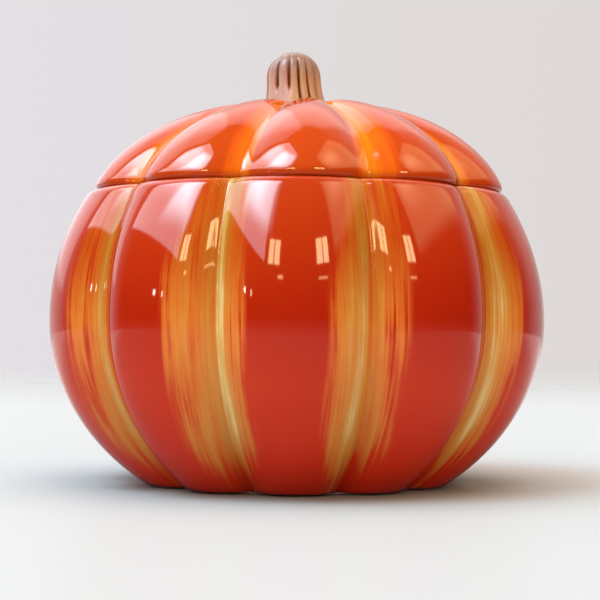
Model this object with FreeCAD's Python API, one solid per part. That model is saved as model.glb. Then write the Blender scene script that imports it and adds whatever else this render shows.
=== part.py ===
import FreeCAD, Part
import math
import os

# A ceramic jar shaped like a pumpkin: a hollow ribbed jar, and a lift-off domed lid with a
# stem-shaped knob. Every size is in millimetres. The origin is the centre of the foot, on the
# surface that the jar stands on. +Z is up and -Y is the front.

# ---- driving dimensions ----------------------------------------------------------------------

wall = 5.0                                   # thickness of the slip-cast wall

# Lobes. A crease is the groove between two lobes. Angles are degrees round from the front,
# positive towards +X. The front creases are uneven, as if pressed by hand; the rest are even.
lobe_count = 11
jar_front_creases = [-81.0, -47.9, -17.4, 16.5, 47.5, 80.0]
lid_front_creases = [-51.0, -15.4, 18.8, 52.7]
belly_crease_depth = 9.2
foot_crease_depth = 10.2
rim_crease_depth = 5.7
lid_crease_depth = 8.5
inside_softness = 0.7                        # depth of a crease inside the wall, as a share of outside

# Jar, measured over the crests of the lobes.
belly_radius = 117.7
belly_height = 75.0                          # height of the widest point
underside_height = 1.0                       # the lobes stop just clear of the table
under_belly_depth = 94.3                     # semi-axis of the ellipse below the belly
rim_height = 133.0                           # plane that the lid rests on
rim_inset = 18.4                             # how far the shoulder draws in up to the rim
shoulder_power = 2.1
rim_round = 3.0
mouth_radius = 79.0
mouth_round = 1.5
ledge_thickness = 5.0                        # flat ring round the mouth, under the lid
floor_thickness = 4.0

# Foot ring of bare clay, standing a little proud of the glazed underside.
foot_outer_radius = 60.5
foot_inner_radius = 52.0
foot_recess_height = 3.0

# Lid, a superellipse dome measured over the crests.
dome_radius = 100.9
dome_base_height = 123.7                     # height at which the dome's own curve starts
dome_height = 54.3
side_power = 2.25
crown_power = 1.73
lid_edge_height = 4.5                        # the lid's edge curls in over this height
lid_edge_inset = 3.2
lid_shift = 0.4                              # the lid's crown leans a little towards +X
lid_lean = 3.2
dimple_depth = 1.5
dimple_radius = 32.0
stem_land_radius = 15.0                      # flat spot in the crown that carries the stem

# Locating ring under the lid, round so that the lid can be turned in the mouth.
ring_clearance = 1.8
ring_thickness = 4.5
ring_depth = 9.0
ring_round = 1.2

# Stem.
stem_top_height = 201.9
stem_dome_start = 188.0                      # above this the stem rounds over
stem_radius = 12.9
stem_dome_power = 2.4
stem_flare = 2.1
stem_flare_height = 14.0
stem_tip_radius = 2.5
stem_groove_count = 15
stem_front_grooves = [-78.0, -50.0, -34.0, -17.0, 10.0, 33.0, 58.0, 82.0]
stem_rib_depth = 1.5
stem_base_shift = -1.1
stem_middle_shift = -2.3

# ---- worked-out dimensions -------------------------------------------------------------------

ring_outer_radius = mouth_radius - ring_clearance
ring_inner_radius = ring_outer_radius - ring_thickness
cavity_floor_height = foot_recess_height + floor_thickness
seat_angle = math.asin(((rim_height - dome_base_height) / dome_height) ** (crown_power / 2))
land_angle = math.acos((stem_land_radius / dome_radius) ** (side_power / 2))


# ---- shared geometry -------------------------------------------------------------------------

def all_round(front, count):
    """The front angles, then even steps round the back until the first angle comes again."""
    steps = count + 1 - len(front)
    step = (360.0 + front[0] - front[-1]) / steps
    return front + [front[-1] + step * (index + 1) for index in range(steps)]


def polar(radius, angle, height, shift=0.0):
    """A point at an angle round from the front, about an axis moved sideways by shift."""
    turn = math.radians(angle)
    return FreeCAD.Vector(radius * math.sin(turn) + shift, -radius * math.cos(turn), height)


def lobed_wire(angles, crest, crease, shift=0.0):
    """One arc per lobe, from crease to crease over the crest. crest and crease are
    (radius, height) pairs."""
    arcs = []
    for start, end in zip(angles, angles[1:]):
        first = polar(crease[0], start, crease[1], shift)
        top = polar(crest[0], (start + end) / 2, crest[1], shift)
        last = polar(crease[0], end, crease[1], shift)
        arcs.append(Part.Arc(first, top, last).toShape())
    return Part.Wire(arcs)


def spaced(first, last, count):
    """count values from first to last, evenly spaced."""
    return [first + (last - first) * index / (count - 1) for index in range(count)]


def smooth_step(value):
    """0 below 0, 1 above 1, with a soft change between."""
    value = min(max(value, 0.0), 1.0)
    return value * value * (3 - 2 * value)


def revolved(outline):
    """Turn a closed outline of (radius, height) corners once about Z."""
    corners = [FreeCAD.Vector(radius, 0, height) for radius, height in outline]
    face = Part.Face(Part.makePolygon(corners + corners[:1]))
    return face.revolve(FreeCAD.Vector(0, 0, 0), FreeCAD.Vector(0, 0, 1), 360)


def circle_edges(solid, radius, height):
    """The full round edges of a solid that have this radius and height."""
    found = []
    for edge in solid.Edges:
        is_round = isinstance(edge.Curve, Part.Circle) and abs(edge.Curve.Radius - radius) < 0.01
        if is_round and abs(edge.Curve.Center.z - height) < 0.01:
            found.append(edge)
    return found


# ---- jar -------------------------------------------------------------------------------------

jar_creases = all_round(jar_front_creases, lobe_count)


def jar_crest_radius(height, inset=0.0):
    """Radius over the crests at a height. inset moves the whole profile inwards."""
    if height < belly_height:
        drop = (belly_height - height) / (under_belly_depth - inset)
        return (belly_radius - inset) * math.sqrt(1 - drop * drop)
    rise = (height - belly_height) / (rim_height - belly_height)
    return belly_radius - inset - rim_inset * rise ** shoulder_power


def jar_crease_depth(height):
    """The creases are deepest low down and fade towards the rim."""
    if height < belly_height:
        share = (belly_height - height) / belly_height
        return belly_crease_depth + (foot_crease_depth - belly_crease_depth) * share
    share = (height - belly_height) / (rim_height - belly_height)
    return belly_crease_depth + (rim_crease_depth - belly_crease_depth) * share ** 1.6


def jar_outside():
    wires = []
    for height in spaced(underside_height, rim_height - rim_round, 13):
        radius = jar_crest_radius(height)
        crease = radius - jar_crease_depth(height)
        wires.append(lobed_wire(jar_creases, (radius, height), (crease, height)))
    for turn in (30, 60, 90):
        height = rim_height - rim_round * (1 - math.sin(math.radians(turn)))
        radius = jar_crest_radius(height) - rim_round * (1 - math.cos(math.radians(turn)))
        crease = radius - jar_crease_depth(height)
        wires.append(lobed_wire(jar_creases, (radius, height), (crease, height)))
    return Part.makeLoft(wires, True, False)


def jar_inside():
    wires = []
    for height in spaced(cavity_floor_height, rim_height - ledge_thickness, 11):
        radius = jar_crest_radius(height, wall)
        depth = jar_crease_depth(height) * inside_softness
        wires.append(lobed_wire(jar_creases, (radius, height), (radius - depth, height)))
    return Part.makeLoft(wires, True, False)


def make_jar_body():
    mouth_start = FreeCAD.Vector(0, 0, rim_height - ledge_thickness - 1)
    mouth = Part.makeCylinder(mouth_radius, 2 * ledge_thickness, mouth_start)
    recess = Part.makeCylinder(foot_outer_radius, foot_recess_height)
    body = jar_outside().cut(jar_inside()).cut(mouth).cut(recess)
    return body.makeFillet(mouth_round, circle_edges(body, mouth_radius, rim_height))


def make_foot_ring():
    edge = 0.8
    ring = revolved([
        (foot_inner_radius, foot_recess_height),
        (foot_inner_radius, edge),
        (foot_inner_radius + edge, 0),
        (foot_outer_radius - edge, 0),
        (foot_outer_radius, edge),
        (foot_outer_radius, foot_recess_height),
    ])
    return ring


# ---- lid -------------------------------------------------------------------------------------

lid_creases = all_round(lid_front_creases, lobe_count)


def lid_section(angle):
    """Crest point, crease point and sideways shift of the lid at one angle up the dome."""
    radius = dome_radius * math.cos(angle) ** (2 / side_power)
    height = dome_base_height + dome_height * math.sin(angle) ** (2 / crown_power)
    share = (angle - seat_angle) / (math.pi / 2 - seat_angle)
    depth = lid_crease_depth * (radius / dome_radius) ** 0.8
    depth = depth * (1 - (stem_land_radius / radius) ** 3)
    tilt = math.pi / 2 * share ** 1.5
    curl = max(0.0, 1 - (height - rim_height) / lid_edge_height)
    radius = radius - lid_edge_inset * (1 - math.sqrt(1 - curl * curl))
    height = height - dimple_depth * (1 - smooth_step(radius / dimple_radius))
    crest = (radius, height)
    crease = (radius - depth * math.cos(tilt), height - depth * math.sin(tilt))
    shift = lid_shift + lid_lean * (height - rim_height) / dome_height
    return crest, crease, shift


def lid_outside():
    edge_angles = spaced(seat_angle, seat_angle + 0.12, 4)
    dome_angles = spaced(seat_angle + 0.2, land_angle, 14)
    wires = []
    for angle in edge_angles + dome_angles:
        crest, crease, shift = lid_section(angle)
        wires.append(lobed_wire(lid_creases, crest, crease, shift))
    return Part.makeLoft(wires, True, False)


def lid_inside():
    """The hollow of the lid, a wall's thickness inside the dome and open through the ring."""
    floor_height = rim_height + ledge_thickness
    floor_angle = math.asin(((floor_height - dome_base_height) / dome_height) ** (crown_power / 2))
    wires = []
    for angle in spaced(floor_angle, land_angle - 0.12, 10):
        crest, crease, shift = lid_section(angle)
        share = (angle - floor_angle) / (land_angle - floor_angle)
        tilt = math.pi / 2 * share ** 0.8
        inset = (wall * math.cos(tilt), wall * math.sin(tilt))
        inner_crest = (crest[0] - inset[0], crest[1] - inset[1])
        depth = inside_softness * (crest[0] - crease[0])
        dip = inside_softness * (crest[1] - crease[1])
        if angle == floor_angle or share > 0.85:
            dip = 0.0
        inner_crease = (inner_crest[0] - depth, inner_crest[1] - dip)
        wires.append(lobed_wire(lid_creases, inner_crest, inner_crease, shift))
    return Part.makeLoft(wires, True, False)


def make_lid_shell():
    opening_start = FreeCAD.Vector(0, 0, rim_height - 1)
    opening = Part.makeCylinder(ring_inner_radius, 3 * ledge_thickness, opening_start)
    return lid_outside().cut(lid_inside()).cut(opening)


def make_locating_ring():
    bottom = rim_height - ring_depth
    ring = revolved([
        (ring_inner_radius, rim_height),
        (ring_inner_radius, bottom),
        (ring_outer_radius, bottom),
        (ring_outer_radius, rim_height),
    ])
    rounded = circle_edges(ring, ring_inner_radius, bottom) + circle_edges(ring, ring_outer_radius, bottom)
    return ring.makeFillet(ring_round, rounded)


# ---- stem ------------------------------------------------------------------------------------

def stem_section(height, base_height):
    """Crest radius, rib depth and sideways shift of the stem at one height."""
    radius = stem_radius
    if height > stem_dome_start:
        rise = (height - stem_dome_start) / (stem_top_height - stem_dome_start)
        radius = max(stem_radius * math.sqrt(1 - rise ** stem_dome_power), stem_tip_radius)
    foot = max(0.0, 1 - (height - base_height) / stem_flare_height)
    radius = radius + stem_flare * foot * foot
    share = (height - base_height) / (stem_top_height - base_height)
    shift = stem_base_shift + (stem_middle_shift - stem_base_shift) * math.sin(math.pi * share * 0.75)
    return radius, stem_rib_depth * (radius / stem_radius) * (1 - 0.6 * share), shift


def make_stem_knob():
    base_height = lid_section(land_angle)[0][1]
    angles = all_round(stem_front_grooves, stem_groove_count)
    heights = spaced(base_height, stem_dome_start, 5)[:-1]
    for turn in spaced(0, 90, 9):
        rise = math.sin(math.radians(turn))
        heights.append(stem_dome_start + (stem_top_height - stem_dome_start) * rise)
    wires = []
    for height in heights:
        radius, depth, shift = stem_section(height, base_height)
        wires.append(lobed_wire(angles, (radius, height), (radius - depth, height), shift))
    return Part.makeLoft(wires, True, False)


# ---- write one STEP per node -----------------------------------------------------------------

nodes = {
    "jar_body": make_jar_body,
    "jar_foot_ring": make_foot_ring,
    "lid_locating_ring": make_locating_ring,
    "lid_shell": make_lid_shell,
    "stem_knob": make_stem_knob,
}

os.makedirs("parts", exist_ok=True)
for name, make in nodes.items():
    solid = make().Solids[0]
    solid.exportStep("parts/" + name + ".step")
    print(name, "valid", solid.isValid(), "volume", round(solid.Volume), "mm3")
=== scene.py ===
"""Looks for a lidded ceramic pumpkin jar: lobed glazed jar, domed lid, stem knob.

Sizes are in metres. Angles are degrees round from the front (-Y), positive towards +X.
"""
import math

import bpy
import numpy as np
from mathutils import Matrix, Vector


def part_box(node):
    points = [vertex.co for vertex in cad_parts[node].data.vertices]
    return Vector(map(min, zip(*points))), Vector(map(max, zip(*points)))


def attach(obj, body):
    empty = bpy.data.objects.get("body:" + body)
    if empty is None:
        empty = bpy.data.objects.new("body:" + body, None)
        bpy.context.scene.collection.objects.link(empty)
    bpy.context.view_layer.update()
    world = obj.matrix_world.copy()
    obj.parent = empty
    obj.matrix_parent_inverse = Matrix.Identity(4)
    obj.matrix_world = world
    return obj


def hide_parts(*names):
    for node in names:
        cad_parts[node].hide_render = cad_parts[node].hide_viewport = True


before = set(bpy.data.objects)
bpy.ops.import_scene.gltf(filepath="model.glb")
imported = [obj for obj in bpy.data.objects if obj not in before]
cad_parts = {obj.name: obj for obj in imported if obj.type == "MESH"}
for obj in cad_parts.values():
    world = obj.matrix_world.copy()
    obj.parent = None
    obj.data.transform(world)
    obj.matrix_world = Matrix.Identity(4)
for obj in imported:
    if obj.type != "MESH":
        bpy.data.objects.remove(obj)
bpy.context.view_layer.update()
mm = 0.001

# ---- sizes taken from the frame --------------------------------------------------------------

jar_low, jar_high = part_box("jar_body")
foot_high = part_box("jar_foot_ring")[1]
stem_low, stem_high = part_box("stem_knob")
rim_height = jar_high.z
foot_radius = foot_high.x

# ---- named sizes -----------------------------------------------------------------------------

lobe_count = 11
jar_creases_front = [-81.0, -47.9, -17.4, 16.5, 47.5, 80.0]
lid_creases_front = [-51.0, -15.4, 18.8, 52.7]
crest_flatness = 0.5                         # 0 is a parabola; towards 1 the crest is flatter
jar_crease_softness = 0.04                   # share of half a lobe over which a crease is rounded
lid_crease_softness = 0.16
inside_crease_share = 0.7                    # depth of a crease inside, as a share of outside
columns_per_lobe = 36
wall = 5 * mm

belly_radius = 117.4 * mm
belly_height = 75 * mm
under_belly_depth = 94.3 * mm
rim_inset = 18.3 * mm
shoulder_power = 2.1
belly_crease_depth = 9.2 * mm
foot_crease_depth = 10.2 * mm
rim_crease_depth = 5.7 * mm
rim_crease_power = 1.6
rim_round = 3 * mm
mouth_radius = 79 * mm
mouth_round = 1.5 * mm
ledge_thickness = 5 * mm
cavity_floor = 7 * mm
cavity_floor_round = 3 * mm
foot_clearance = 0.3 * mm                    # between the glazed skin and the foot ring
underside_cap_share = 0.2                    # radius of a flat middle, as a share of what is round it
cavity_cap_share = 0.3
side_rows = 96
rim_rows = 8
mouth_rows = 6
cavity_rows = 30

dome_radius = 100.5 * mm
dome_base = 123.7 * mm
dome_height = 54.4 * mm
side_power = 2.26
crown_power = 1.74
lid_crease_depth = 8.5 * mm
lid_crease_power = 0.8                       # the creases get shallower up the dome
lid_land_power = 3                           # and run out at the stem's land
lid_tilt_power = 1.5                         # they turn from pressing inwards to pressing down
lid_edge_height = 4.5 * mm
lid_edge_inset = 3.2 * mm
lid_shift = 0.4 * mm                         # the seat is this far off the axis, towards +X
lid_lean = 3.2 * mm                          # and the crown leans this much further
dimple_depth = 2.0 * mm
dimple_radius = 34 * mm
stem_land_radius = 15 * mm
ring_opening = 72.7 * mm
lid_cap_radius = 2 * mm                      # flat middle of the dome, hidden under the stem
lid_cap_rise = 0.2 * mm
edge_rows = 12                               # rows on the rolled edge, closer together low down
edge_turn = 0.12                             # turns up the dome are in radians
dome_rows = 84
dome_first_turn = 0.13
lid_inside_rows = 24
lid_inside_stop = 0.12                       # the inside ends this much turn below the land
lid_inside_tilt_power = 0.8
lid_inside_crease_rise = 4                   # the creases inside reach full depth over 1/4 of the way

stem_radius = 12.9 * mm
stem_sink = 1.5 * mm                         # the stem starts this far down inside the lid
stem_dome_start = 188 * mm
stem_dome_power = 2.4
stem_dome_first_turn = 4                     # degrees
stem_side_rows = 30
stem_dome_rows = 30
stem_tip_radius = 0.3 * mm
stem_flare = 2.1 * mm
stem_flare_height = 14 * mm
stem_base_shift = -1.1 * mm
stem_middle_shift = -2.3 * mm
stem_bend = 0.75                             # half waves in the bend from foot to top
stem_groove_count = 14
stem_grooves_front = [-72.0, -38.0, -10.0, 11.0, 31.0, 51.0, 78.0]
stem_groove_strength = [0.6, 1.0, 1.0, 1.0, 0.8, 0.5, 0.6]
stem_groove_depth = 1.7 * mm
stem_groove_softness = 0.15
stem_groove_power = 2
stem_groove_fade_start = 0.3                 # share of the round top where the grooves start to fade
stem_groove_fade_span = 0.6
stem_top_depth_share = 0.25                  # what is left of their depth and their paint at the top
stem_top_paint_share = 0.15
columns_per_stem_rib = 12
stem_slots = [1, 2]                          # these grooves stop short of the foot
stem_slot_start = 3 * mm
stem_slot_fade = 6 * mm

# Painted stripes. Each wave is its sway, the rise that turns it by one radian, and its turn per crease.
stripe_waves = [(1.0 * mm, 19 * mm, 1.7), (0.4 * mm, 7 * mm, 2.9)]
stripe_steady_width = 5 * mm                 # the waves fade out this close to the crease
stripe_narrowing = 0.38                      # how much narrower the left side gets at the jar's rim
narrowing_start = 88 * mm
narrowing_span = 42 * mm
foot_fade_start = 5 * mm                     # the stripes fade in from here upwards
foot_fade_span = 26 * mm
foot_stripe_strength = 0.2                   # what shows of them below that
underside_radius = 20 * mm                   # stands in for the radius at the middle of the underside
lid_slope = 0.8                              # height less this share of radius runs up the dome

pinhole_crease = 2                           # glaze pinholes sit by this crease, under the rim
pinhole_turn = 1.0
pinhole_half_width = 4.5
pinhole_drop = 7 * mm


# ---- geometry helpers ------------------------------------------------------------------------

def all_round(front, count):
    """The front angles, then even steps round the back until the first angle comes again."""
    steps = count + 1 - len(front)
    step = (360.0 + front[0] - front[-1]) / steps
    return np.array(front + [front[-1] + step * (index + 1) for index in range(steps)])


def smooth_step(value):
    """0 below 0, 1 above 1, with a soft change between."""
    value = np.clip(value, 0.0, 1.0)
    return value * value * (3 - 2 * value)


def turned_past_first(angles, creases):
    """The same angles, moved by whole turns to come at or after the first crease."""
    return (angles - creases[0]) % 360 + creases[0]


def nearest_crease(angles, creases):
    """Index of the crease nearest to each angle."""
    turned = turned_past_first(angles, creases)
    return np.abs(turned[None, :] - creases[:, None]).argmin(axis=0)


def columns_for(creases, per_lobe):
    """Angles round the pot, closer together near the creases."""
    share = 0.5 - 0.5 * np.cos(np.pi * np.arange(per_lobe) / per_lobe)
    spans = np.diff(creases)
    return (creases[:-1, None] + spans[:, None] * share[None, :]).ravel()


def lobe_position(angles, creases):
    """Where each angle is across its lobe, from 0 to 1."""
    turned = turned_past_first(angles, creases)
    index = np.clip(np.searchsorted(creases, turned, side="right") - 1, 0, len(creases) - 2)
    return (turned - creases[index]) / (creases[index + 1] - creases[index])


def crease_share(angles, creases, softness):
    """0 on a crest, 1 in a crease, with the bottom of the crease rounded."""
    place = lobe_position(angles, creases)
    edge = 1 - np.abs(2 * place - 1)
    across = 1 - (np.sqrt(edge ** 2 + softness ** 2) - softness)
    return (1 - crest_flatness) * across ** 2 + crest_flatness * across ** 4


def ring_points(radius, height, angles, shift=0.0):
    """Points round the axis, which is moved towards +X by shift."""
    turn = np.radians(angles)
    x = radius * np.sin(turn) + shift
    y = -radius * np.cos(turn)
    return np.stack([x, y, np.broadcast_to(height, x.shape)], axis=-1)


def skin_mesh(name, rows):
    """A closed mesh from rows of ring points. Its last two faces cap the first and last rows."""
    rows = np.asarray(rows)
    row_count, column_count, _ = rows.shape
    lower = np.arange(row_count - 1)[:, None] * column_count
    here = np.arange(column_count)[None, :]
    after = (here + 1) % column_count
    corners = [lower + here, lower + after, lower + column_count + after, lower + column_count + here]
    faces = np.stack(corners, axis=-1).reshape(-1, 4).tolist()
    faces.append(list(range(column_count))[::-1])
    faces.append([(row_count - 1) * column_count + column for column in range(column_count)])
    mesh = bpy.data.meshes.new(name)
    mesh.from_pydata(rows.reshape(-1, 3).tolist(), [], faces)
    mesh.polygons.foreach_set("use_smooth", [True] * len(faces))
    mesh.update()
    return mesh


def set_slots(mesh, inner_faces, first_cap):
    """Gives inner_faces material 1 and the rest 0, but the cap on the first row first_cap."""
    slots = np.zeros(len(mesh.polygons), np.int32)
    slots[inner_faces] = 1
    slots[-2] = first_cap
    mesh.polygons.foreach_set("material_index", slots)


def add_values(mesh, name, values):
    attribute = mesh.attributes.new(name, "FLOAT", "POINT")
    attribute.data.foreach_set("value", np.asarray(values, np.float32).ravel())


def add_vectors(mesh, name, values):
    attribute = mesh.attributes.new(name, "FLOAT_VECTOR", "POINT")
    attribute.data.foreach_set("vector", np.asarray(values, np.float32).ravel())


def add_piece(mesh, body, replaced, materials):
    piece = bpy.data.objects.new(mesh.name, mesh)
    bpy.context.scene.collection.objects.link(piece)
    for material in materials:
        mesh.materials.append(material)
    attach(piece, body)
    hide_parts(replaced)


def stripe_values(radius, height, angles, creases, stripes, full_radius):
    """Warmth of the painted stripes, 0 red to 1 pale yellow, and the distance from the crease.

    A stripe sways a little as it runs up. On the jar its left side narrows towards the rim."""
    nearest = nearest_crease(angles, creases)
    turned = turned_past_first(angles, creases)
    away = np.radians(turned - creases[nearest])[None, :] * np.sqrt(radius * full_radius)
    warmth = np.zeros_like(away)
    narrowing = stripe_narrowing * smooth_step((height - narrowing_start) / narrowing_span)
    narrowing = narrowing * (height < rim_height)
    for crease in range(len(creases)):
        outline = stripes[crease % lobe_count]
        distance = np.array([point[0] for point in outline]) * mm
        level = np.array([point[1] for point in outline])
        chosen = nearest == crease
        up = height[:, chosen]
        sway = sum(width * np.sin(up / length + turn * crease) for width, length, turn in stripe_waves)
        reach = away[:, chosen] + sway * smooth_step(np.abs(away[:, chosen]) / stripe_steady_width)
        reach = np.where(reach < 0, reach / (1 - narrowing[:, chosen]), reach)
        warmth[:, chosen] = np.interp(reach, distance, level)
    return warmth, away


# ---- materials -------------------------------------------------------------------------------

class Shader:
    """Short ways to add nodes to one node tree."""

    def __init__(self, tree):
        self.tree = tree

    def node(self, kind, settings=None, **inputs):
        made = self.tree.nodes.new(kind)
        for name, value in (settings or {}).items():
            setattr(made, name, value)
        for name, value in inputs.items():
            self.feed(made.inputs[name.replace("_", " ")], value)
        return made

    def feed(self, socket, value):
        if isinstance(value, bpy.types.NodeSocket):
            self.tree.links.new(value, socket)
        else:
            socket.default_value = value

    def math(self, operation, *values):
        made = self.tree.nodes.new("ShaderNodeMath")
        made.operation = operation
        for socket, value in zip(made.inputs, values):
            self.feed(socket, value)
        return made.outputs[0]

    def remap(self, value, low, high, new_low=0.0, new_high=1.0):
        made = self.node("ShaderNodeMapRange", {"interpolation_type": "SMOOTHSTEP"})
        for socket, given in zip(made.inputs, (value, low, high, new_low, new_high)):
            self.feed(socket, given)
        return made.outputs[0]

    def centred(self, value, size):
        """A value from 0 to 1 moved to lie evenly about 0, and made size wide."""
        return self.math("MULTIPLY", self.math("SUBTRACT", value, 0.5), size)

    def attribute(self, name, output="Fac"):
        return self.node("ShaderNodeAttribute", {"attribute_name": name}).outputs[output]

    def noise(self, vector, scale, detail=2.0, roughness=0.5):
        made = self.node("ShaderNodeTexNoise", Vector=vector, Scale=scale, Detail=detail,
                         Roughness=roughness)
        return made.outputs["Fac"]

    def stretched(self, vector, scale):
        made = self.node("ShaderNodeMapping", Vector=vector)
        made.inputs["Scale"].default_value = scale
        return made.outputs[0]

    def ramp(self, value, stops):
        made = self.node("ShaderNodeValToRGB", Fac=value)
        elements = made.color_ramp.elements
        while len(elements) < len(stops):
            elements.new(0.5)
        for element, (position, colour) in zip(elements, stops):
            element.position = position
            element.color = (*colour, 1.0)
        return made.outputs["Color"]

    def mix(self, share, first, second):
        made = self.node("ShaderNodeMix", {"data_type": "RGBA"})
        self.feed(made.inputs["Factor"], share)
        for name, value in (("A", first), ("B", second)):
            sockets = [socket for socket in made.inputs if socket.name == name]
            socket = [found for found in sockets if found.type == "RGBA"][0]
            self.feed(socket, value if isinstance(value, bpy.types.NodeSocket) else (*value, 1.0))
        return [socket for socket in made.outputs if socket.type == "RGBA"][0]


def new_material(name):
    material = bpy.data.materials.new(name)
    material.use_nodes = True
    material.node_tree.nodes.clear()
    return material, Shader(material.node_tree)


def finish_material(shader, **inputs):
    surface = shader.node("ShaderNodeBsdfPrincipled", **inputs)
    output = shader.node("ShaderNodeOutputMaterial")
    shader.tree.links.new(surface.outputs[0], output.inputs["Surface"])


# Brush marks in the stripes: stretch, detail, roughness and strength of each noise.
brush_marks = [((300.0, 10.0, 1.0), 3.0, 0.6, 1.5), ((950.0, 18.0, 1.0), 3.0, 0.6, 0.75),
               ((75.0, 34.0, 1.0), 2.0, 0.5, 0.8)]
stem_brush_stretch = (700.0, 70.0, 1.0)
# Painted shade: above these heights the jar's stripes take a darker copy of their colours.
shaded_yellows_start = 0.060                  # height where the upper yellows begin to take over
shaded_yellows_full = 0.110
cloudiness = 0.16
pinhole_scale = 750.0
pinhole_share = 0.30
pinhole_colour = (0.22, 0.13, 0.03)
reflection_tint_edge = -0.0035                          # painted reflection to the left of this
wash_edge = 0.0005                           # wash to the right of this
# Painted shade: the stem is darkened towards this colour near its top.
stem_top_shade_start = 0.186
stem_top_shade_full = 0.197
stem_top_shade_colour = (0.14, 0.070, 0.060)
stem_top_shade_strength = 0.8


def painted_glaze(name, reds, yellows, upper_yellows, streakiness):
    """Red glaze with dry-brushed warm stripes, under a clear gloss."""
    material, s = new_material(name)
    flow = s.attribute("flow", "Vector")
    warmth = s.attribute("warmth")
    height = s.node("ShaderNodeSeparateXYZ", Vector=flow).outputs["Y"]
    place = s.node("ShaderNodeTexCoord").outputs["Object"]
    strands = 0.0
    for stretch, detail, roughness, size in brush_marks:
        marks = s.noise(s.stretched(flow, stretch), 1.0, detail, roughness)
        strands = s.math("ADD", strands, s.centred(marks, size))
    strength = s.math("MULTIPLY", s.remap(warmth, 0.0, 0.25), streakiness)
    streaked = s.math("ADD", warmth, s.math("MULTIPLY", strands, strength))
    # On the jar these reds are lighter low down, which is painted light.
    red = s.ramp(height, reds)
    cloud = s.remap(s.noise(place, 22.0, 2.0), 0.3, 0.7)
    red = s.mix(s.math("MULTIPLY", cloud, cloudiness), red, deep_red)
    # Painted shade: on the jar the stripes turn to their darker copy higher up.
    upper = s.remap(height, shaded_yellows_start, shaded_yellows_full)
    warm = s.mix(upper, s.ramp(streaked, yellows), s.ramp(streaked, upper_yellows))
    colour = s.mix(s.remap(streaked, 0.04, 0.30), red, warm)
    cells = s.node("ShaderNodeTexVoronoi", Vector=place, Scale=pinhole_scale)
    pinhole = s.math("LESS_THAN", cells.outputs["Distance"], pinhole_share)
    colour = s.mix(s.math("MULTIPLY", pinhole, s.attribute("pinholes")), colour, pinhole_colour)
    waves = s.noise(place, 55.0, 1.0)
    bump = s.node("ShaderNodeBump", Strength=0.12, Distance=0.0004, Height=waves)
    finish_material(s, Base_Color=colour, Roughness=0.05, IOR=1.5, Normal=bump.outputs[0])
    return material


def plain_glaze(name, colours, roughness):
    """One plain surface, mottled between two colours."""
    material, s = new_material(name)
    place = s.node("ShaderNodeTexCoord").outputs["Object"]
    colour = s.mix(s.noise(place, 60.0, 3.0), colours[0], colours[1])
    waves = s.noise(place, 120.0, 2.0)
    bump = s.node("ShaderNodeBump", Strength=0.2, Distance=0.0003, Height=waves)
    finish_material(s, Base_Color=colour, Roughness=roughness, Normal=bump.outputs[0])
    return material


def stem_paint(name):
    """A pinkish painted reflection on the left, an ochre wash from the middle rightwards, brown in the
    grooves, and painted shade on the top.
    """
    material, s = new_material(name)
    groove = s.attribute("groove")
    flow = s.attribute("flow", "Vector")
    along = s.node("ShaderNodeSeparateXYZ", Vector=flow)
    streak = s.noise(s.stretched(flow, stem_brush_stretch), 1.0, 3.0, 0.6)
    depth = s.math("ADD", groove, s.centred(streak, 0.9))
    # The pinkish colours on the left side are a painted reflection of the pale backdrop.
    reflection_tinted = s.ramp(depth, [(0.0, (0.37, 0.22, 0.195)), (0.25, (0.34, 0.155, 0.11)),
                          (0.45, (0.20, 0.065, 0.014)), (0.75, (0.10, 0.024, 0.003))])
    wash = s.ramp(depth, [(0.0, (0.37, 0.21, 0.13)), (0.25, (0.35, 0.17, 0.080)),
                          (0.45, (0.25, 0.095, 0.022)), (0.75, (0.11, 0.028, 0.004))])
    across = s.math("ADD", along.outputs["X"], s.centred(streak, 0.004))
    colour = s.mix(s.remap(across, reflection_tint_edge, wash_edge), reflection_tinted, wash)
    # Painted shade darkens the top of the stem.
    top = s.remap(along.outputs["Y"], stem_top_shade_start, stem_top_shade_full)
    colour = s.mix(s.math("MULTIPLY", top, stem_top_shade_strength), colour, stem_top_shade_colour)
    place = s.node("ShaderNodeTexCoord").outputs["Object"]
    waves = s.noise(place, 300.0, 2.0)
    bump = s.node("ShaderNodeBump", Strength=0.2, Distance=0.0003, Height=waves)
    finish_material(s, Base_Color=colour, Roughness=0.25, IOR=1.5,
                    Specular_IOR_Level=0.3, Normal=bump.outputs[0])
    return material


deep_red = (0.34, 0.007, 0.002)
# The jar's stripe colours come twice: a lighter copy low down, which is painted light, and a darker
# copy high up, which is painted shade.
low_yellows_painted_light = [(0.0, (0.46, 0.045, 0.007)), (0.3, (0.51, 0.125, 0.018)),
               (0.5, (0.51, 0.180, 0.028)), (0.7, (0.51, 0.235, 0.045)),
               (0.85, (0.54, 0.32, 0.10)), (1.0, (0.60, 0.45, 0.19))]
high_yellows_painted_shade = [(0.0, (0.30, 0.024, 0.003)), (0.3, (0.31, 0.045, 0.004)),
                (0.5, (0.31, 0.070, 0.006)), (0.7, (0.30, 0.095, 0.009)),
                (0.85, (0.31, 0.130, 0.018)), (1.0, (0.37, 0.21, 0.055))]
# Reds by height in metres: deepest round the belly, more orange above it and below it. The lighter reds
# low down are painted light, standing in for light thrown up from the table.
jar_reds_and_painted_light = [(0.0, (0.56, 0.018, 0.002)), (0.045, (0.45, 0.026, 0.003)),
            (0.075, (0.283, 0.011, 0.001)), (0.13, (0.275, 0.025, 0.003))]
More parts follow.
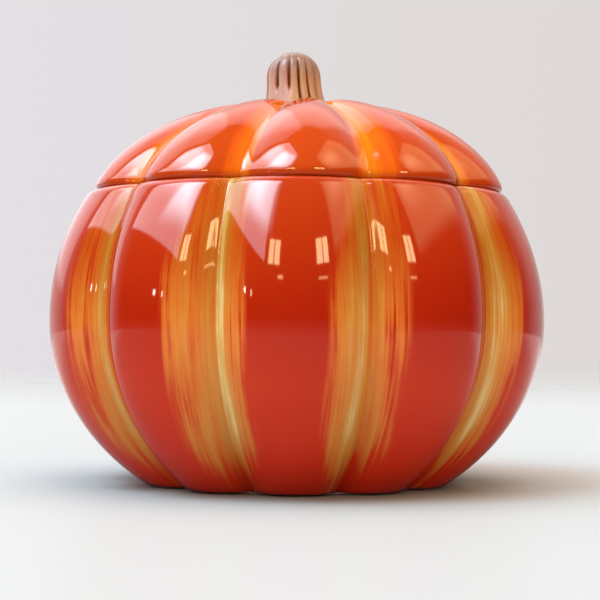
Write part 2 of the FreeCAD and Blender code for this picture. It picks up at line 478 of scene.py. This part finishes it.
# The lid's heights are less lid_slope of the radius, so the last step is a brown ring at the stem.
lid_reds = [(0.0, (0.31, 0.035, 0.003)), (0.155, (0.31, 0.035, 0.003)),
            (0.161, (0.17, 0.042, 0.009))]
lid_yellows = [(0.0, (0.34, 0.030, 0.003)), (0.3, (0.41, 0.055, 0.003)),
               (0.5, (0.43, 0.080, 0.003)), (0.7, (0.45, 0.11, 0.003)),
               (0.85, (0.47, 0.15, 0.005)), (1.0, (0.50, 0.24, 0.030))]
jar_glaze = painted_glaze("jar_glaze", jar_reds_and_painted_light, low_yellows_painted_light, high_yellows_painted_shade, 0.8)
lid_glaze = painted_glaze("lid_glaze", lid_reds, lid_yellows, lid_yellows, 0.4)
inner_glaze = plain_glaze("inner_glaze", [(0.72, 0.62, 0.47), (0.80, 0.71, 0.57)], 0.18)
bare_clay = plain_glaze("bare_clay", [(0.66, 0.60, 0.52), (0.78, 0.73, 0.66)], 0.85)
stem_glaze = stem_paint("stem_glaze")

# ---- jar -------------------------------------------------------------------------------------

jar_creases = all_round(jar_creases_front, lobe_count)
jar_angles = columns_for(jar_creases, columns_per_lobe)
jar_groove = crease_share(jar_angles, jar_creases, jar_crease_softness)


def jar_crest_radius(height, inset=0.0):
    """Radius of the outside along a crest, or of a skin inset from it."""
    below = np.sqrt(np.clip(1 - ((belly_height - height) / (under_belly_depth - inset)) ** 2, 0, 1))
    rise = np.clip((height - belly_height) / (rim_height - belly_height), 0, None)
    above = belly_radius - inset - rim_inset * rise ** shoulder_power
    return np.where(height < belly_height, (belly_radius - inset) * below, above)


def jar_crease_depth(height):
    """The creases are deepest low down and get shallower towards the rim."""
    low = max(0.0, (belly_height - height) / belly_height)
    high = max(0.0, (height - belly_height) / (rim_height - belly_height))
    deeper = (foot_crease_depth - belly_crease_depth) * low
    shallower = (rim_crease_depth - belly_crease_depth) * high ** rim_crease_power
    return belly_crease_depth + deeper + shallower


def jar_outside(crest, height):
    return ring_points(crest - jar_crease_depth(height) * jar_groove, height, jar_angles)


def build_jar():
    """Rows from the middle of the underside, up the outside and down the cavity to its floor."""
    bottom = jar_low.z
    rows = [ring_points(foot_radius * underside_cap_share, foot_high.z, jar_angles),
            ring_points(foot_radius, foot_high.z, jar_angles),
            ring_points(foot_radius + foot_clearance, bottom, jar_angles)]
    radii = [underside_radius, foot_radius, foot_radius]
    for height in bottom + (rim_height - rim_round - bottom) * np.linspace(0, 1, side_rows):
        crest = jar_crest_radius(height)
        rows.append(jar_outside(crest, height))
        radii.append(float(crest))
    for turn in np.radians(np.linspace(10, 90, rim_rows)):
        height = rim_height - rim_round * (1 - math.sin(turn))
        crest = jar_crest_radius(height) - rim_round * (1 - math.cos(turn))
        rows.append(jar_outside(crest, height))
        radii.append(float(crest))
    glazed_rows = len(rows)
    for turn in np.radians(np.linspace(0, 90, mouth_rows)):
        radius = mouth_radius + mouth_round * (1 - math.sin(turn))
        height = rim_height - mouth_round * (1 - math.cos(turn))
        rows.append(ring_points(radius, height, jar_angles))
    ledge_height = rim_height - ledge_thickness
    rows.append(ring_points(mouth_radius, ledge_height, jar_angles))
    for height in np.linspace(ledge_height, cavity_floor + cavity_floor_round, cavity_rows):
        crease = inside_crease_share * jar_crease_depth(height) * jar_groove
        rows.append(ring_points(jar_crest_radius(height, wall) - crease, height, jar_angles))
    crease = inside_crease_share * foot_crease_depth * jar_groove
    inner = jar_crest_radius(cavity_floor, wall) - crease
    rows.append(ring_points(inner - cavity_floor_round, cavity_floor, jar_angles))
    rows.append(ring_points(cavity_cap_share * inner, cavity_floor, jar_angles))
    radii += [mouth_radius] * (len(rows) - len(radii))
    mesh = skin_mesh("jar_shell", rows)
    inside_from = (glazed_rows + mouth_rows - 1) * len(jar_angles)
    set_slots(mesh, slice(inside_from, None), 0)

    radii = np.array(radii)[:, None]
    heights = np.array(rows)[..., 2]
    warmth, away = stripe_values(radii, heights, jar_angles, jar_creases, jar_stripes, belly_radius)
    fade = smooth_step((heights - foot_fade_start) / foot_fade_span)
    warmth = warmth * (foot_stripe_strength + (1 - foot_stripe_strength) * fade)
    warmth[glazed_rows:] = 0
    add_values(mesh, "warmth", warmth)
    add_vectors(mesh, "flow", np.stack([away, heights, 0 * warmth], axis=-1))
    turned = jar_angles - jar_creases[pinhole_crease] - pinhole_turn
    beside = np.abs((turned + 180) % 360 - 180)[None, :] < pinhole_half_width
    outside_rim = (heights > rim_height - pinhole_drop) * (radii > mouth_radius)
    add_values(mesh, "pinholes", beside * outside_rim)
    return mesh


# Stripe outlines, as (millimetres right of the crease, warmth).
jar_stripe_a = [(-26, 0), (-20, 0.14), (-13, 0.26), (-5, 0.38), (-2.5, 0.72), (-0.6, 0.62),
                (0.4, 0)]
jar_stripe_b = [(-25, 0), (-19, 0.2), (-15, 0.32), (-11, 0.42), (-4, 0.45), (-0.5, 0.6), (0.4, 0.9),
                (3, 0.95), (5.5, 0.6), (9, 0.4), (13, 0.2), (18, 0)]
jar_stripe_c = [(-25, 0), (-19, 0.13), (-15, 0.35), (-11, 0.6), (-6, 0.8), (-3.5, 0.75), (-2, 0.42),
                (1, 0.45), (5, 0.42), (8, 0.3), (13, 0.16), (18, 0)]
jar_stripe_d = [(-0.5, 0), (0.4, 0.5), (2.5, 0.65), (4, 0.9), (7, 0.9), (9, 0.5), (14, 0.3),
                (21, 0)]
jar_stripes = [jar_stripe_c, jar_stripe_a, jar_stripe_b, jar_stripe_c, jar_stripe_d, jar_stripe_b,
               jar_stripe_a, jar_stripe_c, jar_stripe_b, jar_stripe_d, jar_stripe_a]

add_piece(build_jar(), "jar", "jar_body", [jar_glaze, inner_glaze])

# ---- lid -------------------------------------------------------------------------------------

lid_creases = all_round(lid_creases_front, lobe_count)
lid_angles = columns_for(lid_creases, columns_per_lobe)
lid_groove = crease_share(lid_angles, lid_creases, lid_crease_softness)
seat_angle = math.asin(((rim_height - dome_base) / dome_height) ** (crown_power / 2))
land_angle = math.acos((stem_land_radius / dome_radius) ** (side_power / 2))


def lid_section(angle):
    """Crest radius and height, how far a crease presses in and down, and the sideways shift."""
    radius = dome_radius * math.cos(angle) ** (2 / side_power)
    height = dome_base + dome_height * math.sin(angle) ** (2 / crown_power)
    share = (angle - seat_angle) / (math.pi / 2 - seat_angle)
    depth = lid_crease_depth * (radius / dome_radius) ** lid_crease_power
    depth = depth * (1 - (stem_land_radius / radius) ** lid_land_power)
    tilt = math.pi / 2 * share ** lid_tilt_power
    curl = max(0.0, 1 - (height - rim_height) / lid_edge_height)
    radius = radius - lid_edge_inset * (1 - math.sqrt(1 - curl * curl))
    height = height - dimple_depth * (1 - smooth_step(radius / dimple_radius))
    shift = lid_shift + lid_lean * (height - rim_height) / dome_height
    return radius, height, depth * math.cos(tilt), depth * math.sin(tilt), shift


def build_lid():
    """Rows from the top of the inside down to the seat, then up the outside to the stem's land."""
    outside = []
    radii = []
    edge_angles = seat_angle + edge_turn * np.linspace(0, 1, edge_rows) ** 2
    dome_angles = np.linspace(seat_angle + dome_first_turn, land_angle, dome_rows)
    for angle in np.concatenate([edge_angles, dome_angles]):
        radius, height, inward, down, shift = lid_section(float(angle))
        points = ring_points(radius - inward * lid_groove, height, lid_angles, shift)
        points[:, 2] = height - down * lid_groove
        outside.append(points)
        radii.append(radius)
    outside.append(ring_points(lid_cap_radius, height + lid_cap_rise, lid_angles, shift))
    radii.append(lid_cap_radius)

    inside = []
    floor_height = rim_height + ledge_thickness
    floor_angle = math.asin(((floor_height - dome_base) / dome_height) ** (crown_power / 2))
    for angle in np.linspace(land_angle - lid_inside_stop, floor_angle, lid_inside_rows):
        radius, height, inward, down, shift = lid_section(float(angle))
        share = (angle - floor_angle) / (land_angle - floor_angle)
        tilt = math.pi / 2 * share ** lid_inside_tilt_power
        inner = radius - wall * math.cos(tilt) - inside_crease_share * inward * lid_groove
        points = ring_points(inner, height - wall * math.sin(tilt), lid_angles, shift)
        shown = min(1.0, lid_inside_crease_rise * share)
        points[:, 2] -= inside_crease_share * down * lid_groove * shown
        inside.append(points)
    inside.append(ring_points(ring_opening, floor_height, lid_angles))
    inside.append(ring_points(ring_opening, rim_height, lid_angles))
    rows = inside + outside
    mesh = skin_mesh("lid_dome", rows)
    set_slots(mesh, slice(0, len(inside) * len(lid_angles)), 1)

    radii = np.array([ring_opening] * len(inside) + radii)[:, None]
    heights = np.array(rows)[..., 2]
    warmth, away = stripe_values(radii, heights, lid_angles, lid_creases, lid_stripes, dome_radius)
    warmth[:len(inside)] = 0
    add_values(mesh, "warmth", warmth)
    add_vectors(mesh, "flow", np.stack([away, heights - lid_slope * radii, 0 * warmth], axis=-1))
    return mesh


lid_stripe_a = [(-10, 0), (-4, 0.4), (-1, 0.65), (3, 0.5), (6, 0.3), (10, 0)]
lid_stripe_b = [(-12, 0), (-8, 0.3), (-4, 0.45), (0, 0.5), (2.5, 0.6), (5, 0)]
lid_stripe_c = [(-8, 0), (-4, 0.4), (-2, 0.6), (2, 0.7), (5, 0.5), (9, 0.4), (12, 0.2), (16, 0)]
lid_stripe_d = [(-9, 0), (-5, 0.4), (-2, 0.7), (1, 0.8), (3, 0.5), (6, 0)]
lid_stripes = [lid_stripe_a, lid_stripe_b, lid_stripe_c, lid_stripe_d, lid_stripe_b, lid_stripe_a,
               lid_stripe_c, lid_stripe_d, lid_stripe_a, lid_stripe_b, lid_stripe_c]

add_piece(build_lid(), "lid", "lid_shell", [lid_glaze, inner_glaze])

# ---- stem ------------------------------------------------------------------------------------

stem_grooves = all_round(stem_grooves_front, stem_groove_count)
stem_angles = columns_for(stem_grooves, columns_per_stem_rib)


def build_stem():
    """Rows from just inside the lid up to the tip."""
    rows = []
    grooves = []
    base = stem_low.z - stem_sink
    top = stem_high.z
    round_height = top - stem_dome_start
    nearest = nearest_crease(stem_angles, stem_grooves) % stem_groove_count
    strength = np.resize(stem_groove_strength, stem_groove_count)[nearest]
    share = crease_share(stem_angles, stem_grooves, stem_groove_softness) ** stem_groove_power
    share = share * strength
    is_slot = np.isin(nearest, stem_slots)
    side_heights = np.linspace(base, stem_dome_start, stem_side_rows)
    turns = np.radians(np.linspace(stem_dome_first_turn, 90, stem_dome_rows))
    for height in np.concatenate([side_heights, stem_dome_start + round_height * np.sin(turns)]):
        rise = max(0.0, (height - stem_dome_start) / round_height)
        radius = stem_radius * math.sqrt(max(0.0, 1 - rise ** stem_dome_power))
        foot = max(0.0, 1 - (height - base) / stem_flare_height)
        radius = max(radius, stem_tip_radius) + stem_flare * foot * foot
        bend = math.sin(math.pi * ((height - base) / (top - base)) * stem_bend)
        shift = stem_base_shift + (stem_middle_shift - stem_base_shift) * bend
        fade = 1 - smooth_step((rise - stem_groove_fade_start) / stem_groove_fade_span)
        depth = stem_groove_depth * (stem_top_depth_share + (1 - stem_top_depth_share) * fade)
        depth = depth * radius / stem_radius
        slot = smooth_step((height - stem_low.z - stem_slot_start) / stem_slot_fade)
        shown = share * np.where(is_slot, slot, 1.0)
        rows.append(ring_points(radius - depth * shown, height, stem_angles, shift))
        grooves.append(shown * (stem_top_paint_share + (1 - stem_top_paint_share) * fade))
    mesh = skin_mesh("stem", rows)
    add_values(mesh, "groove", grooves)
    heights = np.array(rows)[..., 2]
    around = np.broadcast_to(np.radians(stem_angles) * stem_radius, heights.shape)
    add_vectors(mesh, "flow", np.stack([around, heights, 0 * heights], axis=-1))
    return mesh


add_piece(build_stem(), "lid", "stem_knob", [stem_glaze])

# ---- CAD pieces that keep their own shape ----------------------------------------------------

for node, material in (("jar_foot_ring", bare_clay), ("lid_locating_ring", inner_glaze)):
    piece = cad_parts[node]
    piece.data.materials.clear()
    piece.data.materials.append(material)

# ---- table and studio ------------------------------------------------------------------------

table_radius = 1.06
table_middle = 0.35                          # centre of the round front half, behind the object
table_stretch = 6                            # the far half is this many times as long
table_corners = 96
table_far_origin = 0.7                       # the far fade is measured from this far in front
table_far_fade = (0.16, 0.72)                # one over the distance where it is clear, then solid
table_front_fade = (-0.70, -0.42)            # where the front edge is clear, then solid
table_mirror_fade = (-0.05, 0.30)            # from the near mirrored colour to the far one
table_colour = (0.262, 0.262, 0.272)
table_sheen = (0.08, 0.08, 0.08)
near_mirrored = (0.14, 0.14, 0.145)
far_mirrored = (0.36, 0.36, 0.37)


def build_table():
    """A pale table whose far side fades into the backdrop."""
    mesh = bpy.data.meshes.new("table")
    turn = np.linspace(0, 2 * np.pi, table_corners + 1)[:-1]
    along = table_radius * np.cos(turn)
    depth = table_middle + np.where(along > 0, table_stretch * along, along)
    verts = np.stack([table_radius * np.sin(turn), depth, 0 * turn], axis=-1)
    verts[:, 0] *= 1 + np.clip(along, 0, None)
    mesh.from_pydata(verts.tolist(), [], [list(range(table_corners))[::-1]])
    material, s = new_material("table")
    place = s.node("ShaderNodeSeparateXYZ", Vector=s.node("ShaderNodeTexCoord").outputs["Object"])
    away = place.outputs["Y"]
    nearness = s.math("DIVIDE", 1.0, s.math("ADD", away, table_far_origin))
    solid = s.remap(s.math("ABSOLUTE", nearness), *table_far_fade)
    solid = s.math("MULTIPLY", solid, s.remap(away, *table_front_fade))
    below = s.node("ShaderNodeNewGeometry").outputs["Backfacing"]
    solid = s.math("MULTIPLY", solid, s.math("SUBTRACT", 1.0, below))
    mirrored = s.node("ShaderNodeLightPath").outputs["Is Glossy Ray"]
    reflected = s.mix(s.remap(away, *table_mirror_fade), near_mirrored, far_mirrored)
    matt = s.node("ShaderNodeBsdfDiffuse", Color=s.mix(mirrored, table_colour, reflected))
    shine = s.mix(mirrored, table_sheen, (0.0, 0.0, 0.0))
    sheen = s.node("ShaderNodeBsdfGlossy", Color=shine, Roughness=0.3)
    surface = s.node("ShaderNodeAddShader")
    s.tree.links.new(matt.outputs[0], surface.inputs[0])
    s.tree.links.new(sheen.outputs[0], surface.inputs[1])
    clear = s.node("ShaderNodeBsdfTransparent")
    both = s.node("ShaderNodeMixShader", Fac=solid)
    s.tree.links.new(clear.outputs[0], both.inputs[1])
    s.tree.links.new(surface.outputs[0], both.inputs[2])
    output = s.node("ShaderNodeOutputMaterial")
    s.tree.links.new(both.outputs[0], output.inputs["Surface"])
    mesh.materials.append(material)
    table = bpy.data.objects.new("table", mesh)
    bpy.context.scene.collection.objects.link(table)


build_table()

# Upright light panels seen from the object: a name for the reader, the azimuth each faces, its left
# and right edges as degrees from that, the elevations of its bottom and top edge, softness, glow.
light_panels = [
    ("left_bank", -72, -40, 40.5, 34, 79, 0.012, (3.4, 3.8, 4.1)),
    ("left_core", -54, -24, 23, 47, 74, 0.12, (4.6, 8.4, 9.8)),
    ("left_high", -76, -34, 28, 54, 72, 0.15, (4.6, 7.0, 8.2)),
    ("left_far", -145, -24, 24, 8, 72, 0.03, (0.8, 0.85, 0.95)),
    ("behind", 180, -30, 33, 36, 67, 0.15, (0.85, 0.85, 0.85)),
    ("right_far", 146, -22, 14, 10, 64, 0.12, (0.1, 0.08, 0.05)),
    ("right_bank", 80, -38, 40, 38, 74, 0.08, (1.8, 1.5, 0.70)),
    ("right_core", 68, -16, 18, 55, 68, 0.2, (3.6, 2.5, 1.5)),
    ("left_window", -21, -6, -0.6, 26.5, 39.5, 0.01, (13.0, 11.5, 5.8)),
    ("left_window", -21, 0.4, 5.5, 26.5, 39.5, 0.01, (13.0, 11.5, 5.8)),
    ("right_window", 27, -7, -0.5, 27, 40, 0.01, (13.0, 11.5, 5.8)),
    ("right_window", 27, 0.5, 6.5, 27, 40, 0.01, (13.0, 11.5, 5.8)),
    ("left_sill", -14, -2.5, 2, 19.3, 21.3, 0.006, (10.0, 7.5, 3.4)),
    ("right_sill", 26, -5, 5, 18.5, 20, 0.006, (8.0, 6.0, 2.7)),
    ("lamp", -56, -1.3, 1.3, 9.8, 12.2, 0.006, (26.0, 27.0, 24.0)),
    ("lamp", -46, -0.8, 0.8, 9.2, 11.8, 0.006, (18.0, 18.0, 14.0)),
]


def add_panel(s, direction, light, panel):
    """Adds one panel to the light arriving from a direction."""
    facing, left, right, bottom, top, soft, glow = panel[1:]
    turn = math.radians(facing)
    ahead = s.node("ShaderNodeVectorMath", {"operation": "DOT_PRODUCT"})
    aside = s.node("ShaderNodeVectorMath", {"operation": "DOT_PRODUCT"})
    for product, axis in ((ahead, (math.sin(turn), -math.cos(turn), 0.0)),
                          (aside, (math.cos(turn), math.sin(turn), 0.0))):
        s.feed(product.inputs[0], direction)
        product.inputs[1].default_value = axis
    forward = s.math("MAXIMUM", ahead.outputs["Value"], 0.001)
    across = s.math("DIVIDE", aside.outputs["Value"], forward)
    height = s.node("ShaderNodeSeparateXYZ", Vector=direction).outputs["Z"]
    upward = s.math("DIVIDE", height, forward)
    left_edge = math.tan(math.radians(left))
    share = s.remap(across, left_edge - soft, left_edge + soft)
    for value, edge, sense in ((across, right, -1), (upward, bottom, 1), (upward, top, -1)):
        edge_at = math.tan(math.radians(edge))
        width = soft * (1 + abs(edge_at))
        level = s.remap(value, edge_at - width, edge_at + width)
        if sense < 0:
            level = s.math("SUBTRACT", 1.0, level)
        share = s.math("MULTIPLY", share, level)
    added = s.node("ShaderNodeMix", {"data_type": "RGBA", "blend_type": "ADD"})
    sockets = [socket for socket in added.inputs if socket.type == "RGBA"]
    s.feed(added.inputs["Factor"], share)
    s.feed(sockets[0], light)
    s.feed(sockets[1], (*glow, 1.0))
    return [socket for socket in added.outputs if socket.type == "RGBA"][0]


# What the glaze mirrors of the room behind (left and right), the room in front, the ceiling and
# the ground in front; then the backdrop that the camera sees, and two lights for matt surfaces.
wall_left = (0.84, 0.78, 0.80)
wall_right = (0.64, 0.60, 0.59)
room_front = (0.03, 0.027, 0.025)
ceiling_colour = (0.05, 0.045, 0.04)
ground_front = (0.25, 0.24, 0.25)
backdrop_left = (0.775, 0.737, 0.772)
backdrop_right = (0.735, 0.695, 0.672)
front_light = (1.9, 1.3, 1.15)
overhead_light = (6.6, 5.7, 5.1)


def build_world():
    world = bpy.data.worlds.new("studio")
    bpy.context.scene.world = world
    world.use_nodes = True
    world.node_tree.nodes.clear()
    s = Shader(world.node_tree)
    direction = s.node("ShaderNodeTexCoord").outputs["Generated"]
    x, y, z = s.node("ShaderNodeSeparateXYZ", Vector=direction).outputs
    wall_light = s.mix(s.remap(x, -0.7, 0.7), wall_left, wall_right)
    room = s.mix(s.remap(y, 0.1, 0.7), room_front, wall_light)
    ceiling = s.mix(s.remap(z, 0.915, 0.94), room, ceiling_colour)
    ground = s.mix(s.remap(y, 0.1, 0.7), ground_front, wall_light)
    light = s.mix(s.remap(z, -0.14, 0.03), ground, ceiling)
    for panel in light_panels:
        light = add_panel(s, direction, light, panel)
    path = s.node("ShaderNodeLightPath")
    backdrop = s.mix(s.remap(x, -0.25, 0.25), backdrop_left, backdrop_right)
    soft = path.outputs["Is Diffuse Ray"]
    low = s.remap(z, 0.60, 0.15)
    front = s.math("MULTIPLY", s.remap(y, 0.3, -0.75, 0.45, 1.0), low)
    light = s.mix(s.math("MULTIPLY", front, soft), light, front_light)
    overhead = s.remap(z, 0.80, 0.92)
    light = s.mix(s.math("MULTIPLY", overhead, soft), light, overhead_light)
    shown = s.mix(path.outputs["Is Camera Ray"], light, backdrop)
    background = s.node("ShaderNodeBackground", Color=shown)
    output = s.node("ShaderNodeOutputWorld")
    s.tree.links.new(background.outputs[0], output.inputs["Surface"])


build_world()

# ---- camera ----------------------------------------------------------------------------------

camera_data = bpy.data.cameras.new("camera")
camera_data.lens = 90
camera_data.sensor_width = 36
camera = bpy.data.objects.new("camera", camera_data)
bpy.context.scene.collection.objects.link(camera)
camera_distance = 0.705
camera_height = 0.0649
camera_pitch = math.radians(1.64)
camera_yaw = math.radians(0.12)
camera_roll = 0.0065
move = Matrix.Translation((0, -camera_distance, camera_height))
aim = Matrix.Rotation(-camera_yaw, 4, "Z") @ Matrix.Rotation(math.pi / 2 + camera_pitch, 4, "X")
camera.matrix_world = move @ aim @ Matrix.Rotation(camera_roll, 4, "Z")
bpy.context.scene.camera = camera
bpy.context.scene.view_settings.view_transform = "Standard"
